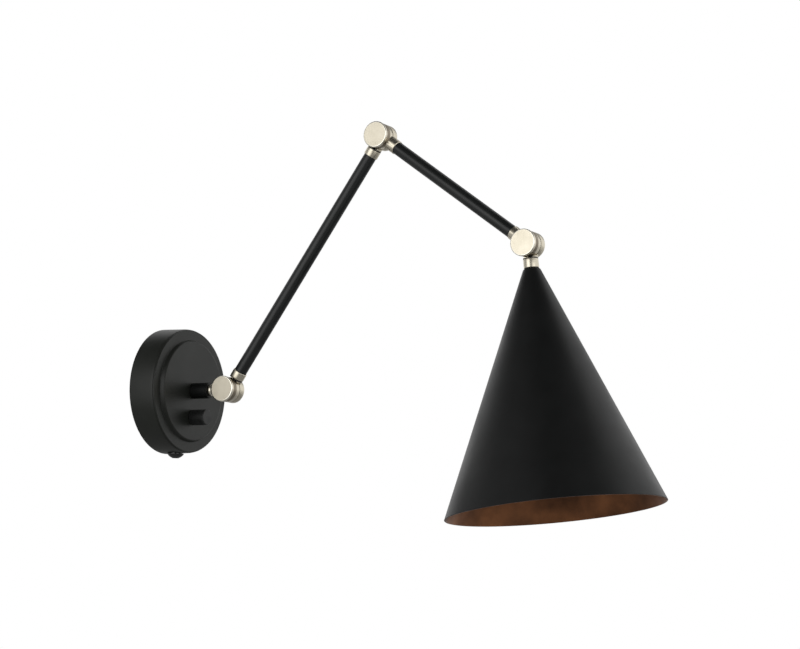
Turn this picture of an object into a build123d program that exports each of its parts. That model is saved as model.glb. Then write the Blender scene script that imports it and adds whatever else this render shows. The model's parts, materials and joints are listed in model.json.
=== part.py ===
"""Accordion wall lamp: a round canopy, two folding arms and a cone shade.

Frame: the wall is the plane y = 0 and the lamp reaches out along -Y. +Z is up.
The arms fold in the plane x = 0, so every knuckle turns about a line along X.
The origin is the middle of the two box screw slots, on the wall.
Lengths are millimetres, angles are degrees.
"""

import os
from math import cos, hypot, radians, sin, sqrt

from build123d import *

os.makedirs("parts", exist_ok=True)

# ---------------------------------------------------------------- driving sizes

# Fits shared by every pair of pieces
running_gap = 0.05  # round a shaft that turns, and beside a washer that slides
fit_gap = 0.05  # round a piece that is pushed or screwed in and stays
soft_gap = 0.3  # between pieces that only lie close together

# Pose in which the lamp is drawn
arm_1_lean = 34.7  # arm 1 away from the vertical, outwards
arm_2_dip = 35.3  # arm 2 below the horizontal
shade_tilt = 7.7  # shade axis away from straight down, outwards

# Reach of the joints
joint_1_reach = 77.0  # wall to the first knuckle's axis
arm_1_length = 298.0  # axis to axis
arm_2_length = 202.0  # axis to axis

# Canopy, a pressed steel cup with a stepped face
canopy_radius = 63.5
canopy_taper = 0.6  # the side wall draws in by this much
canopy_depth = 28.8  # wall to the outer ring of the face
canopy_wall = 1.2
ledge_step = 0.7  # small ledge between the side wall and the ring
ledge_depth = 27.4  # wall to the ledge
disc_radius = 50.3  # raised disc in the middle of the face
disc_rise = 4.2  # how far the disc stands in front of the ring
disc_round = 2.0
edge_round = 0.9

# Wall bracket and its screws
bracket_width = 18.0
bracket_thickness = 2.0
ear_length = 14.0  # wall to the front edge of the ears
box_screw_spacing = 88.9
box_slot_length = 14.0
box_hole_radius = 2.4
ground_screw_place = 24.0
ground_screw_radius = 2.0
ground_head_radius = 4.2
ground_head_height = 2.2
ground_head_top_radius = 2.5
canopy_screw_depth = 8.5  # wall to the screw's axis
canopy_screw_radius = 1.7
canopy_screw_head_radius = 3.2
canopy_screw_head_height = 2.0
canopy_screw_head_top_radius = 2.2
canopy_screw_length = 6.0  # under the head

# Cord bushing in the canopy's lower side
bushing_depth = 13.8  # wall to its axis
bushing_flange_radius = 8.4
bushing_flange_height = 3.4
bushing_shank_radius = 6.3
bushing_collar_radius = 7.2
bushing_collar_height = 3.5
bushing_nose_radius = 4.7
bushing_nose_height = 1.6
bushing_bore_radius = 3.2

# Post, nipple and their nut
post_radius = 8.0
post_length = 20.5
nipple_radius = 5.0
nipple_bore_radius = 3.5
nipple_grip = 9.5  # length screwed into the post
nut_height = 4.0
nut_flats = 14.0
lock_washer_thickness = 0.8
lock_washer_radius = 8.6
nipple_proud = 1.0  # length left showing past the nut

# Dimmer and knob, below the post
dimmer_drop = 27.0
dimmer_width = 26.0
dimmer_height = 22.0
dimmer_depth = 14.0
dimmer_corner = 2.5
dimmer_bushing_radius = 3.5
dimmer_nut_flats = 10.0
dimmer_nut_height = 2.0
dimmer_lug_width = 3.0
dimmer_lug_thickness = 0.8
dimmer_lug_length = 4.0
dimmer_lug_spacing = 10.0
shaft_radius = 3.0
shaft_depth_in_body = 9.0
shaft_depth_in_knob = 14.0
knob_radius = 7.9
knob_length = 18.3
knob_gap = 0.5  # between the knob and the canopy
knob_chamfer = 0.6
knob_wall = 1.7  # round the hollow that covers the nut

# Wiring, in pairs of strands
strand_radius = 0.9
strand_offset = 1.0  # from the middle of a pair to each strand
lead_offset = 1.9  # from the nipple's axis to each lead
lead_depth = 10.0  # wall to the leads where they fan out
lead_bend = 6.0
lug_bend = 3.0  # where a lead turns onto a lug of the dimmer
connector_start = 16.0  # from the nipple's axis to a connector's mouth
connector_length = 18.0
connector_radius = 5.5
connector_tip_radius = 3.4
connector_grip = 6.0  # length of lead inside a connector
connector_mouth_radius = 3.4
neutral_angle = 150.0  # directions of the leads round the nipple, from +X towards +Z
ground_angle = 90.0
switched_angle = 30.0
hot_angle = 240.0

# Knuckles, two half laps on a hollow pivot
knuckle_radius = 12.6
front_thickness = 9.8
rear_thickness = 7.8
knuckle_floor = 3.5
knuckle_wall = 4.1
knuckle_chamfer = 0.4
swing_gap = 1.2  # between a boss and the other half
seat_ledge = 1.0
seat_depth = 1.5
cap_overhang = 0.4
cap_thickness = 3.0
cap_chamfer = 0.6
groove_width = 1.0
groove_depth = 1.1
friction_washer_thickness = 0.8
friction_washer_inset = 1.0
pivot_radius = 3.5
pivot_bore_radius = 2.3
pivot_head_ledge = 3.0
pivot_head_height = 2.2
pivot_slot_width = 1.2
pivot_slot_depth = 1.0
pivot_proud = 0.15
pivot_nut_flats = 11.0
pivot_nut_height = 2.5
spring_washer_thickness = 1.0
wire_bore_radius = 2.6
wire_window_distance = 7.3  # pivot axis to the window that lets the wires through

# Bosses that stand out of the knuckles, and the tubes that slide on them
tube_radius = 6.35
tube_wall = 1.0
boss_overhang = 0.6  # an arm's boss is this much larger than its tube
boss_length = 22.0  # pivot axis to the end of an arm's boss
spigot_length = 12.0
boss_chamfer = 0.4
neck_radius = 5.3  # the boss that enters the post
neck_spigot_length = 9.5
shade_neck_radius = 7.1
shade_neck_length = 23.0
shade_neck_socket = 8.0

# Shade, a spun cone
shade_top_radius = 7.7
shade_radius = 102.9
shade_height = 228.8
shade_wall = 1.2
shade_shoulder_round = 3.0

# Lampholder, for a 26 mm screw lamp
collar_height = 6.0
holder_radius = 17.5
holder_clearance = 3.0  # between its cap and the shade
holder_cap_height = 14.0
holder_cap_wall = 1.5
holder_cap_shoulder = 6.0
holder_cap_boss_radius = 9.0
holder_cap_floor = 4.0
holder_lap = 7.0  # how far the body reaches into the cap
holder_body_height = 34.0  # from the cap to the mouth
holder_floor = 4.0
contact_recess_radius = 12.0
contact_recess_depth = 2.5  # from the shell's seat to the floor
screw_shell_radius = 13.3  # inside
screw_shell_wall = 0.5
screw_shell_length = 25.0
contact_radius = 4.0
contact_height = 1.6
contact_stem_radius = 2.0
contact_stem_proud = 2.0

# ---------------------------------------------------------------- worked-out places

X_AXIS = Vector(1, 0, 0)
outward_1 = Vector(0, -sin(radians(arm_1_lean)), cos(radians(arm_1_lean)))
outward_2 = Vector(0, -cos(radians(arm_2_dip)), -sin(radians(arm_2_dip)))
outward_3 = Vector(0, -sin(radians(shade_tilt)), -cos(radians(shade_tilt)))
to_wall = Vector(0, 1, 0)

joint_1 = Vector(0, -joint_1_reach, 0)
joint_2 = joint_1 + outward_1 * arm_1_length
joint_3 = joint_2 + outward_2 * arm_2_length

face_depth = canopy_depth + disc_rise
face_inside = face_depth - canopy_wall
post_end = face_depth + post_length
neck_length = joint_1_reach - post_end
lap_offset = friction_washer_thickness / 2 + running_gap
cavity_radius = knuckle_radius - knuckle_wall
seat_radius = cavity_radius + seat_ledge
boss_radius = tube_radius + boss_overhang
tube_bore_radius = tube_radius - tube_wall
spigot_radius = tube_bore_radius - fit_gap


def wall_radius(depth):
    """Outside radius of the canopy's side wall at a distance from the wall."""
    return canopy_radius - canopy_taper * depth / ledge_depth


def inner_wall_radius(depth):
    """Inside radius of the canopy's side wall at a distance from the wall."""
    draw_in = canopy_taper + ledge_step
    return canopy_radius - canopy_wall - draw_in * depth / (canopy_depth - canopy_wall)


def cross_plane(origin, direction, across=(1, 0, 0)):
    """A plane square to a direction, for circles that are extruded along it."""
    return Plane(origin=origin, x_dir=across, z_dir=direction)


def section_plane(origin, direction, across=(1, 0, 0)):
    """A plane that holds an axis: local X is the radius and local Y runs along the axis."""
    return Plane(origin=origin, x_dir=across, z_dir=Vector(across).cross(Vector(direction)))


def turned(origin, direction, outline, across=(1, 0, 0)):
    """A solid of revolution from (radius, distance along the axis) corners."""
    with BuildPart() as piece:
        with BuildSketch(section_plane(origin, direction, across)):
            with BuildLine():
                Polyline(*outline, close=True)
            make_face()
        revolve(axis=Axis(origin, direction))
    return piece


def pipe(origin, direction, outer, bore, length, across=(1, 0, 0)):
    """A straight round tube."""
    with BuildPart() as piece:
        with BuildSketch(cross_plane(origin, direction, across)):
            Circle(outer)
            Circle(bore, mode=Mode.SUBTRACT)
        extrude(amount=length)
    return piece


def hex_nut(origin, direction, flats, bore, height, across=(1, 0, 0)):
    """A plain hexagon nut."""
    corner_radius = flats / sqrt(3)
    with BuildPart() as piece:
        with BuildSketch(cross_plane(origin, direction, across)):
            RegularPolygon(radius=corner_radius, side_count=6)
            Circle(bore, mode=Mode.SUBTRACT)
        extrude(amount=height)
    return piece


def strand_pair(origin, direction, length):
    """Two insulated strands that run side by side in a bore."""
    with BuildPart() as piece:
        with BuildSketch(cross_plane(origin, direction)):
            with Locations((-strand_offset, 0), (strand_offset, 0)):
                Circle(strand_radius)
        extrude(amount=length)
    return piece


def save(piece, name):
    """Label a finished piece and write it."""
    piece.part.label = name
    export_step(piece.part, f"parts/{name}.step")


# ---------------------------------------------------------------- canopy


def profile_corner(sketch, radius, depth):
    """The corner of the canopy's section nearest to a radius and a depth."""
    return sketch.vertices().sort_by_distance((radius, -depth, 0))[0]


ring_radius = wall_radius(ledge_depth) - ledge_step
inner_wall_depth = canopy_depth - canopy_wall

with BuildPart() as canopy:
    with BuildSketch(Plane.XY) as canopy_section:
        with BuildLine():
            Polyline(
                (0, -face_depth),
                (disc_radius, -face_depth),
                (disc_radius, -canopy_depth),
                (ring_radius, -canopy_depth),
                (ring_radius, -ledge_depth),
                (wall_radius(ledge_depth), -ledge_depth),
                (canopy_radius, 0),
                (canopy_radius - canopy_wall, 0),
                (ring_radius - canopy_wall, -inner_wall_depth),
                (disc_radius - canopy_wall, -inner_wall_depth),
                (disc_radius - canopy_wall, -face_inside),
                (0, -face_inside),
                close=True,
            )
        make_face()
        fillet(profile_corner(canopy_section, disc_radius, face_depth), radius=disc_round)
        fillet(profile_corner(canopy_section, ring_radius, canopy_depth), radius=edge_round)
    revolve(axis=Axis.Y)
    # Holes in the face: the nipple in the middle, the dimmer's bushing below it
    with BuildSketch(Plane.XZ.offset(face_inside - canopy_wall)):
        Circle(nipple_radius + fit_gap)
        with Locations((0, -dimmer_drop)):
            Circle(dimmer_bushing_radius + fit_gap)
    extrude(amount=3 * canopy_wall, mode=Mode.SUBTRACT)
    # Hole for the cord bushing in the lower side, and for the screw in the +X side
    with BuildSketch(cross_plane((0, -bushing_depth, 0), (0, 0, -1))):
        Circle(bushing_shank_radius + fit_gap)
    extrude(amount=canopy_radius + canopy_wall, mode=Mode.SUBTRACT)
    with BuildSketch(cross_plane((0, -canopy_screw_depth, 0), (1, 0, 0), (0, 0, 1))):
        Circle(canopy_screw_radius + fit_gap)
    extrude(amount=canopy_radius + canopy_wall, mode=Mode.SUBTRACT)
save(canopy, "canopy")

# ---------------------------------------------------------------- wall bracket

ear_reach = sqrt(inner_wall_radius(ear_length) ** 2 - (bracket_width / 2) ** 2) - soft_gap

with BuildPart() as wall_bracket:
    with BuildSketch(Plane.XZ):
        Rectangle(2 * ear_reach, bracket_width)
        with GridLocations(box_screw_spacing, 0, 2, 1):
            SlotOverall(box_slot_length, 2 * box_hole_radius, mode=Mode.SUBTRACT)
        with Locations((ground_screw_place, 0)):
            Circle(ground_screw_radius + fit_gap, mode=Mode.SUBTRACT)
    extrude(amount=bracket_thickness)
    with BuildSketch(Plane.XZ):
        with GridLocations(2 * ear_reach - bracket_thickness, 0, 2, 1):
            Rectangle(bracket_thickness, bracket_width)
    extrude(amount=ear_length)
    with BuildSketch(cross_plane((0, -canopy_screw_depth, 0), (1, 0, 0), (0, 0, 1))):
        Circle(canopy_screw_radius + fit_gap)
    extrude(amount=canopy_radius, mode=Mode.SUBTRACT)
save(wall_bracket, "wall_bracket")

ground_screw = turned(
    (ground_screw_place, 0, 0),
    (0, -1, 0),
    [
        (0, 0),
        (ground_screw_radius, 0),
        (ground_screw_radius, bracket_thickness),
        (ground_head_radius, bracket_thickness),
        (ground_head_radius, bracket_thickness + ground_head_height / 2),
        (ground_head_top_radius, bracket_thickness + ground_head_height),
        (0, bracket_thickness + ground_head_height),
    ],
)
save(ground_screw, "ground_screw")

canopy_screw_seat = wall_radius(canopy_screw_depth - canopy_screw_head_radius)
canopy_screw = turned(
    (canopy_screw_seat, -canopy_screw_depth, 0),
    (1, 0, 0),
    [
        (0, -canopy_screw_length),
        (canopy_screw_radius, -canopy_screw_length),
        (canopy_screw_radius, 0),
        (canopy_screw_head_radius, 0),
        (canopy_screw_head_radius, canopy_screw_head_height / 2),
        (canopy_screw_head_top_radius, canopy_screw_head_height),
        (0, canopy_screw_head_height),
    ],
    across=(0, 0, 1),
)
save(canopy_screw, "canopy_screw")

# ---------------------------------------------------------------- cord bushing

bushing_seat = wall_radius(bushing_depth - bushing_flange_radius)
bushing_inner_wall = inner_wall_radius(bushing_depth + bushing_collar_radius)
collar_seat = sqrt(bushing_inner_wall**2 - bushing_collar_radius**2) - soft_gap

with BuildPart() as cord_bushing:
    with BuildSketch(section_plane((0, -bushing_depth, 0), (0, 0, -1))):
        with BuildLine():
            flange_edge = bushing_seat + bushing_flange_height / 2
            flange_face = bushing_seat + bushing_flange_height
            Polyline(
                (bushing_nose_radius, flange_face),
                (bushing_nose_radius, flange_face + bushing_nose_height),
                (bushing_bore_radius, flange_face + bushing_nose_height),
                (bushing_bore_radius, collar_seat - bushing_collar_height),
                (bushing_shank_radius, collar_seat - bushing_collar_height),
                (bushing_collar_radius, collar_seat),
                (bushing_shank_radius, collar_seat),
                (bushing_shank_radius, bushing_seat),
                (bushing_flange_radius, bushing_seat),
                (bushing_flange_radius, flange_edge),
            )
            ThreePointArc(
                (bushing_flange_radius, flange_edge),
                (
                    bushing_nose_radius + (bushing_flange_radius - bushing_nose_radius) * sin(radians(45)),
                    flange_edge + (flange_face - flange_edge) * sin(radians(45)),
                ),
                (bushing_nose_radius, flange_face),
            )
        make_face()
    revolve(axis=Axis((0, -bushing_depth, 0), (0, 0, -1)))
save(cord_bushing, "cord_bushing")

# ---------------------------------------------------------------- post and its fixings

post = pipe((0, -face_depth, 0), (0, -1, 0), post_radius, nipple_radius + fit_gap, post_length)
save(post, "post")

lock_washer = pipe(
    (0, -face_inside, 0),
    to_wall,
    lock_washer_radius,
    nipple_radius + fit_gap,
    lock_washer_thickness,
)
save(lock_washer, "post_lock_washer")

nut_seat = face_inside - lock_washer_thickness
post_nut = hex_nut((0, -nut_seat, 0), to_wall, nut_flats, nipple_radius + fit_gap, nut_height)
save(post_nut, "post_nut")

nipple_back = nut_seat - nut_height - nipple_proud
nipple_length = face_depth + nipple_grip - nipple_back
post_nipple = pipe(
    (0, -nipple_back, 0), (0, -1, 0), nipple_radius, nipple_bore_radius, nipple_length
)
save(post_nipple, "post_nipple")

# ---------------------------------------------------------------- dimmer and knob

shaft_line = (0, -face_depth, -dimmer_drop)
dimmer_back = face_inside - dimmer_depth
bushing_front = face_depth + dimmer_nut_height

with BuildPart() as dimmer_body:
    with BuildSketch(Plane.XZ.offset(dimmer_back)):
        with Locations((0, -dimmer_drop)):
            RectangleRounded(dimmer_width, dimmer_height, dimmer_corner)
    extrude(amount=dimmer_depth)
    with BuildSketch(Plane.XZ.offset(face_inside)):
        with Locations((0, -dimmer_drop)):
            Circle(dimmer_bushing_radius)
    extrude(amount=bushing_front - face_inside)
    with BuildSketch(Plane.XZ.offset(dimmer_back)):
        with Locations((0, -dimmer_drop)):
            with GridLocations(dimmer_lug_spacing, 0, 2, 1):
                Rectangle(dimmer_lug_thickness, dimmer_lug_width)
    extrude(amount=-dimmer_lug_length)
    with BuildSketch(Plane.XZ.offset(bushing_front)):
        with Locations((0, -dimmer_drop)):
            Circle(shaft_radius + running_gap)
    extrude(
        amount=-(bushing_front - face_inside + shaft_depth_in_body + running_gap),
        mode=Mode.SUBTRACT,
    )
save(dimmer_body, "dimmer_body")

dimmer_nut = hex_nut(
    shaft_line,
    (0, -1, 0),
    dimmer_nut_flats,
    dimmer_bushing_radius + fit_gap,
    dimmer_nut_height,
)
save(dimmer_nut, "dimmer_nut")

knob_hollow = dimmer_nut_height + 2 * knob_gap
knob_shaft_tip = knob_hollow + shaft_depth_in_knob
knob = turned(
    shaft_line,
    (0, -1, 0),
    [
        (knob_radius, knob_gap),
        (knob_radius, knob_length - knob_chamfer),
        (knob_radius - knob_chamfer, knob_length),
        (0, knob_length),
        (0, knob_shaft_tip - knob_gap),
        (shaft_radius + fit_gap, knob_shaft_tip - knob_gap),
        (shaft_radius + fit_gap, knob_hollow),
        (knob_radius - knob_wall, knob_hollow),
        (knob_radius - knob_wall, knob_gap),
    ],
)
save(knob, "knob")

shaft_back = face_inside - shaft_depth_in_body
shaft_front = face_depth + knob_shaft_tip - 2 * knob_gap
with BuildPart() as knob_shaft:
    with BuildSketch(Plane.XZ.offset(shaft_back)):
        with Locations((0, -dimmer_drop)):
            Circle(shaft_radius)
    extrude(amount=shaft_front - shaft_back)
save(knob_shaft, "knob_shaft")

# ---------------------------------------------------------------- wiring in the canopy



def away_from_nipple(angle, distance):
    """A point at the depth of the leads, in a direction round the nipple's axis."""
    return Vector(distance * cos(radians(angle)), -lead_depth, distance * sin(radians(angle)))


def lead(points, radii):
    """One insulated lead along straight runs joined by arcs."""
    with BuildPart() as piece:
        with BuildLine() as route:
            FilletPolyline(*points, radius=radii)
        with BuildSketch(cross_plane(points[0], points[1] - points[0])):
            Circle(strand_radius)
        sweep(path=route.line)
    return piece


def from_nipple(angle):
    """The two points where a lead comes out of the nipple, towards the wall."""
    bend = away_from_nipple(angle, lead_offset)
    return Vector(bend.X, -face_depth, bend.Z), bend


lead_end = connector_start + connector_grip
lug_end = Vector(dimmer_lug_spacing / 2, -(dimmer_back - dimmer_lug_length), -dimmer_drop)
lug_turn = Vector(lug_end.X, -lead_depth, lug_end.Z)
other_lug_end = Vector(-lug_end.X, lug_end.Y, lug_end.Z)
other_lug_turn = Vector(-lug_turn.X, lug_turn.Y, lug_turn.Z)
switched_turn = away_from_nipple(switched_angle, lead_bend)

# Neutral and ground run from the nipple to their connectors, hot runs to the dimmer's -X lug,
# and the switched lead runs from its +X lug to a connector
leads = [
    lead([*from_nipple(neutral_angle), away_from_nipple(neutral_angle, lead_end)], lead_bend),
    lead([*from_nipple(ground_angle), away_from_nipple(ground_angle, lead_end)], lead_bend),
    lead([*from_nipple(hot_angle), other_lug_turn, other_lug_end], [lead_bend, lug_bend]),
    lead(
        [lug_end, lug_turn, switched_turn, away_from_nipple(switched_angle, lead_end)],
        [lug_bend, lead_bend],
    ),
]

with BuildPart() as canopy_leads:
    for piece in leads:
        add(piece.part)
save(canopy_leads, "canopy_leads")

with BuildPart() as wire_connectors:
    for angle in (neutral_angle, ground_angle, switched_angle):
        mouth = away_from_nipple(angle, connector_start)
        away = Vector(cos(radians(angle)), 0, sin(radians(angle)))
        with BuildSketch(section_plane(mouth, away, (0, 1, 0))):
            with BuildLine():
                Polyline(
                    (strand_radius + soft_gap, connector_grip + soft_gap),
                    (0, connector_grip + soft_gap),
                    (0, connector_length),
                    (connector_tip_radius, connector_length),
                    (connector_radius, connector_length / 4),
                    (connector_radius, 0),
                    (connector_mouth_radius, 0),
                    (strand_radius + soft_gap, connector_grip / 2),
                    close=True,
                )
            make_face()
        revolve(axis=Axis(mouth, away))
save(wire_connectors, "wire_connectors")

# ---------------------------------------------------------------- knuckles


def knuckle_half(centre, side, outward, boss, length, spigot, spigot_reach, socket=0.0):
    """One half lap with its boss. side is -1 for the front half and 1 for the rear half.

    The boss is centred on the plane between the halves, so it is cut back round the other half.
    """
    thickness = front_thickness if side < 0 else rear_thickness
    lap_plane = cross_plane(centre + X_AXIS * (side * lap_offset), (side, 0, 0), (0, 0, 1))
    outer_plane = lap_plane.offset(thickness)
    boss_plane = cross_plane(centre, outward)
    with BuildPart() as half:
        with BuildSketch(lap_plane):
            Circle(knuckle_radius)
        extrude(amount=thickness)
        rim = half.edges().filter_by(GeomType.CIRCLE).sort_by(Axis.X)
        chamfer(rim[0] if side < 0 else rim[-1], length=knuckle_chamfer)
        with BuildSketch(boss_plane):
            Circle(boss)
        extrude(amount=length)
        boss_rim = half.edges().filter_by(GeomType.CIRCLE).sort_by(Axis(centre, outward))
        chamfer(boss_rim[-1], length=boss_chamfer)
        if spigot_reach:
            with BuildSketch(boss_plane.offset(length)):
                Circle(spigot)
            extrude(amount=spigot_reach)
        with BuildSketch(lap_plane):
            Circle(knuckle_radius + swing_gap)
        extrude(amount=-(boss + 2 * lap_offset), mode=Mode.SUBTRACT)
        # Hollow for the pivot's head or nut, and the seat of its cover
        with BuildSketch(outer_plane):
            Circle(cavity_radius)
        extrude(amount=-(thickness - knuckle_floor), mode=Mode.SUBTRACT)
        with BuildSketch(outer_plane):
            Circle(seat_radius)
        extrude(amount=-seat_depth, mode=Mode.SUBTRACT)
        # Pivot hole and the window that lets the wires from the boss into the hollow
        with BuildSketch(lap_plane):
            Circle(pivot_radius + running_gap)
        extrude(amount=knuckle_floor, mode=Mode.SUBTRACT)
        window_plane = cross_plane(
            lap_plane.origin + outward * wire_window_distance, (side, 0, 0), (0, 0, 1)
        )
        with BuildSketch(window_plane):
            Circle(wire_bore_radius)
        extrude(amount=knuckle_floor, mode=Mode.SUBTRACT)
        with BuildSketch(boss_plane.offset(wire_window_distance)):
            Circle(wire_bore_radius)
        extrude(amount=length + spigot_reach, mode=Mode.SUBTRACT)
        if socket:
            with BuildSketch(boss_plane.offset(length)):
                Circle(nipple_radius + fit_gap)
            extrude(amount=-socket, mode=Mode.SUBTRACT)
    return half


def knuckle_cap(centre):
    """The flat disc that closes the front half, with a groove behind it."""
    seat = cross_plane(
        centre - X_AXIS * (lap_offset + front_thickness), (-1, 0, 0), (0, 0, 1)
    )
    with BuildPart() as cap:
        with BuildSketch(seat):
            Circle(seat_radius - fit_gap)
        extrude(amount=-seat_depth)
        with BuildSketch(seat):
            Circle(knuckle_radius - groove_depth)
        extrude(amount=groove_width)
        with BuildSketch(seat.offset(groove_width)):
            Circle(knuckle_radius + cap_overhang)
        extrude(amount=cap_thickness)
        chamfer(cap.edges().filter_by(GeomType.CIRCLE).sort_by(Axis.X)[0], length=cap_chamfer)
    return cap


def knuckle_cover(centre):
    """The flush plate that closes the rear half."""
    outer_face = centre + X_AXIS * (lap_offset + rear_thickness)
    with BuildPart() as plate:
        with BuildSketch(cross_plane(outer_face, (-1, 0, 0), (0, 0, 1))):
            Circle(seat_radius - fit_gap)
        extrude(amount=seat_depth)
    return plate


def knuckle_pivot(centre):
    """Hollow pivot screw: slotted head in the front half, thread through the rear half."""
    front_floor = lap_offset + knuckle_floor
    head_seat = front_floor + spring_washer_thickness + running_gap
    shank_end = front_floor + pivot_nut_height + pivot_proud
    head_plane = cross_plane(centre - X_AXIS * head_seat, (-1, 0, 0), (0, 0, 1))
    with BuildPart() as pivot:
        with BuildSketch(head_plane):
            Circle(pivot_radius + pivot_head_ledge)
        extrude(amount=pivot_head_height)
        with BuildSketch(head_plane):
            Circle(pivot_radius)
        extrude(amount=-(head_seat + shank_end))
        with BuildSketch(head_plane.offset(pivot_head_height)):
            Rectangle(pivot_slot_width, 2 * (pivot_radius + pivot_head_ledge + running_gap))
        extrude(amount=-pivot_slot_depth, mode=Mode.SUBTRACT)
        with BuildSketch(head_plane.offset(pivot_head_height)):
            Circle(pivot_bore_radius)
        extrude(amount=-(pivot_head_height + head_seat + shank_end), mode=Mode.SUBTRACT)
    return pivot


def knuckle_washers(centre):
    """The spring washer under the pivot's head, and the friction washer between the halves."""
    front_floor = centre - X_AXIS * (lap_offset + knuckle_floor)
    spring = pipe(
        front_floor,
        (-1, 0, 0),
        pivot_radius + pivot_head_ledge,
        pivot_radius + running_gap,
        spring_washer_thickness,
        (0, 0, 1),
    )
    friction = pipe(
        centre - X_AXIS * (friction_washer_thickness / 2),
        (1, 0, 0),
        knuckle_radius - friction_washer_inset,
        pivot_radius + running_gap,
        friction_washer_thickness,
        (0, 0, 1),
    )
    return spring, friction


def save_knuckle_hardware(centre, name):
    """Write the cap, cover, pivot, nut and washers of one knuckle."""
    spring, friction = knuckle_washers(centre)
    nut = hex_nut(
        centre + X_AXIS * (lap_offset + knuckle_floor),
        (1, 0, 0),
        pivot_nut_flats,
        pivot_radius + fit_gap,
        pivot_nut_height,
        (0, 0, 1),
    )
    save(knuckle_cap(centre), f"{name}_cap")
    save(knuckle_cover(centre), f"{name}_cover")
    save(knuckle_pivot(centre), f"{name}_pivot")
    save(nut, f"{name}_pivot_nut")
    save(spring, f"{name}_spring_washer")
    save(friction, f"{name}_friction_washer")


wall_front = knuckle_half(
    joint_1, -1, to_wall, neck_radius, neck_length, nipple_radius, neck_spigot_length
)
save(wall_front, "wall_knuckle_front")
wall_rear = knuckle_half(
    joint_1, 1, outward_1, boss_radius, boss_length, spigot_radius, spigot_length
)
save(wall_rear, "wall_knuckle_rear")
save_knuckle_hardware(joint_1, "wall_knuckle")

elbow_front = knuckle_half(
    joint_2, -1, outward_2, boss_radius, boss_length, spigot_radius, spigot_length
)
save(elbow_front, "elbow_knuckle_front")
elbow_rear = knuckle_half(
    joint_2, 1, outward_1 * -1, boss_radius, boss_length, spigot_radius, spigot_length
)
save(elbow_rear, "elbow_knuckle_rear")
save_knuckle_hardware(joint_2, "elbow_knuckle")

shade_front = knuckle_half(
    joint_3, -1, outward_2 * -1, boss_radius, boss_length, spigot_radius, spigot_length
)
save(shade_front, "shade_knuckle_front")
shade_rear = knuckle_half(
    joint_3, 1, outward_3, shade_neck_radius, shade_neck_length, 0, 0, socket=shade_neck_socket
)
save(shade_rear, "shade_knuckle_rear")
save_knuckle_hardware(joint_3, "shade_knuckle")

# ---------------------------------------------------------------- arm tubes and cables

arm_1_tube = pipe(
    joint_1 + outward_1 * boss_length,
    outward_1,
    tube_radius,
    tube_bore_radius,
    arm_1_length - 2 * boss_length,
)
save(arm_1_tube, "arm_1_tube")

arm_2_tube = pipe(
    joint_2 + outward_2 * boss_length,
    outward_2,
    tube_radius,
    tube_bore_radius,
    arm_2_length - 2 * boss_length,
)
save(arm_2_tube, "arm_2_tube")

cable_inset = knuckle_radius + swing_gap  # the strands show no nearer the pivot than the boss
arm_1_cable = strand_pair(
    joint_1 + outward_1 * cable_inset, outward_1, arm_1_length - 2 * cable_inset
)
save(arm_1_cable, "arm_1_cable")

arm_2_cable = strand_pair(
    joint_2 + outward_2 * cable_inset, outward_2, arm_2_length - 2 * cable_inset
)
save(arm_2_cable, "arm_2_cable")

post_cable_start = face_depth + soft_gap
post_cable = strand_pair(
    (0, -post_cable_start, 0), (0, -1, 0), joint_1_reach - cable_inset - post_cable_start
)
save(post_cable, "post_cable")

# ---------------------------------------------------------------- shade

shade_slope = (shade_radius - shade_top_radius) / shade_height
shade_wall_across = shade_wall * hypot(1, shade_slope)  # measured square to the axis
shade_start = shade_neck_length


def shade_inside(distance):
    """Inside radius of the shade at a distance from the shade knuckle's axis."""
    outside = shade_top_radius + shade_slope * (distance - shade_start)
    return outside - shade_wall_across


shade_end = shade_start + shade_height
shade_plate = shade_start + shade_wall

with BuildPart() as shade:
    with BuildSketch(section_plane(joint_3, outward_3)) as shade_section:
        with BuildLine():
            Polyline(
                (nipple_radius + fit_gap, shade_start),
                (shade_top_radius, shade_start),
                (shade_radius, shade_end),
                (shade_inside(shade_end), shade_end),
                (shade_inside(shade_plate), shade_plate),
                (nipple_radius + fit_gap, shade_plate),
                close=True,
            )
        make_face()
        shoulder = shade_section.vertices().sort_by_distance(
            shade_section.workplanes[0].from_local_coords((shade_top_radius, shade_start, 0))
        )
        fillet(shoulder[0], radius=shade_shoulder_round)
    revolve(axis=Axis(joint_3, outward_3))
save(shade, "shade")

# ---------------------------------------------------------------- shade fixings and lampholder

collar_end = shade_plate + collar_height
shade_collar = turned(
    joint_3,
    outward_3,
    [
        (nipple_radius + fit_gap, shade_plate),
        (shade_inside(shade_plate) - soft_gap, shade_plate),
        (shade_inside(collar_end) - soft_gap, collar_end),
        (nipple_radius + fit_gap, collar_end),
    ],
)
save(shade_collar, "shade_collar")

shade_nut = hex_nut(
    joint_3 + outward_3 * collar_end, outward_3, nut_flats, nipple_radius + fit_gap, nut_height
)
save(shade_nut, "shade_nut")

room_radius = holder_radius + holder_clearance
cap_top = shade_start + (room_radius + shade_wall_across - shade_top_radius) / shade_slope
cap_end = cap_top + holder_cap_height
cap_inner_radius = holder_radius - holder_cap_wall

with BuildPart() as holder_cap:
    with BuildSketch(section_plane(joint_3, outward_3)):
        with BuildLine():
            Polyline(
                (nipple_radius + fit_gap, cap_top),
                (holder_cap_boss_radius, cap_top),
                (holder_radius, cap_top + holder_cap_shoulder),
                (holder_radius, cap_end),
                (cap_inner_radius, cap_end),
                (cap_inner_radius, cap_top + holder_cap_shoulder),
                (holder_cap_boss_radius, cap_top + holder_cap_floor),
                (nipple_radius + fit_gap, cap_top + holder_cap_floor),
                close=True,
            )
        make_face()
    revolve(axis=Axis(joint_3, outward_3))
save(holder_cap, "lampholder_cap")

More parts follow.
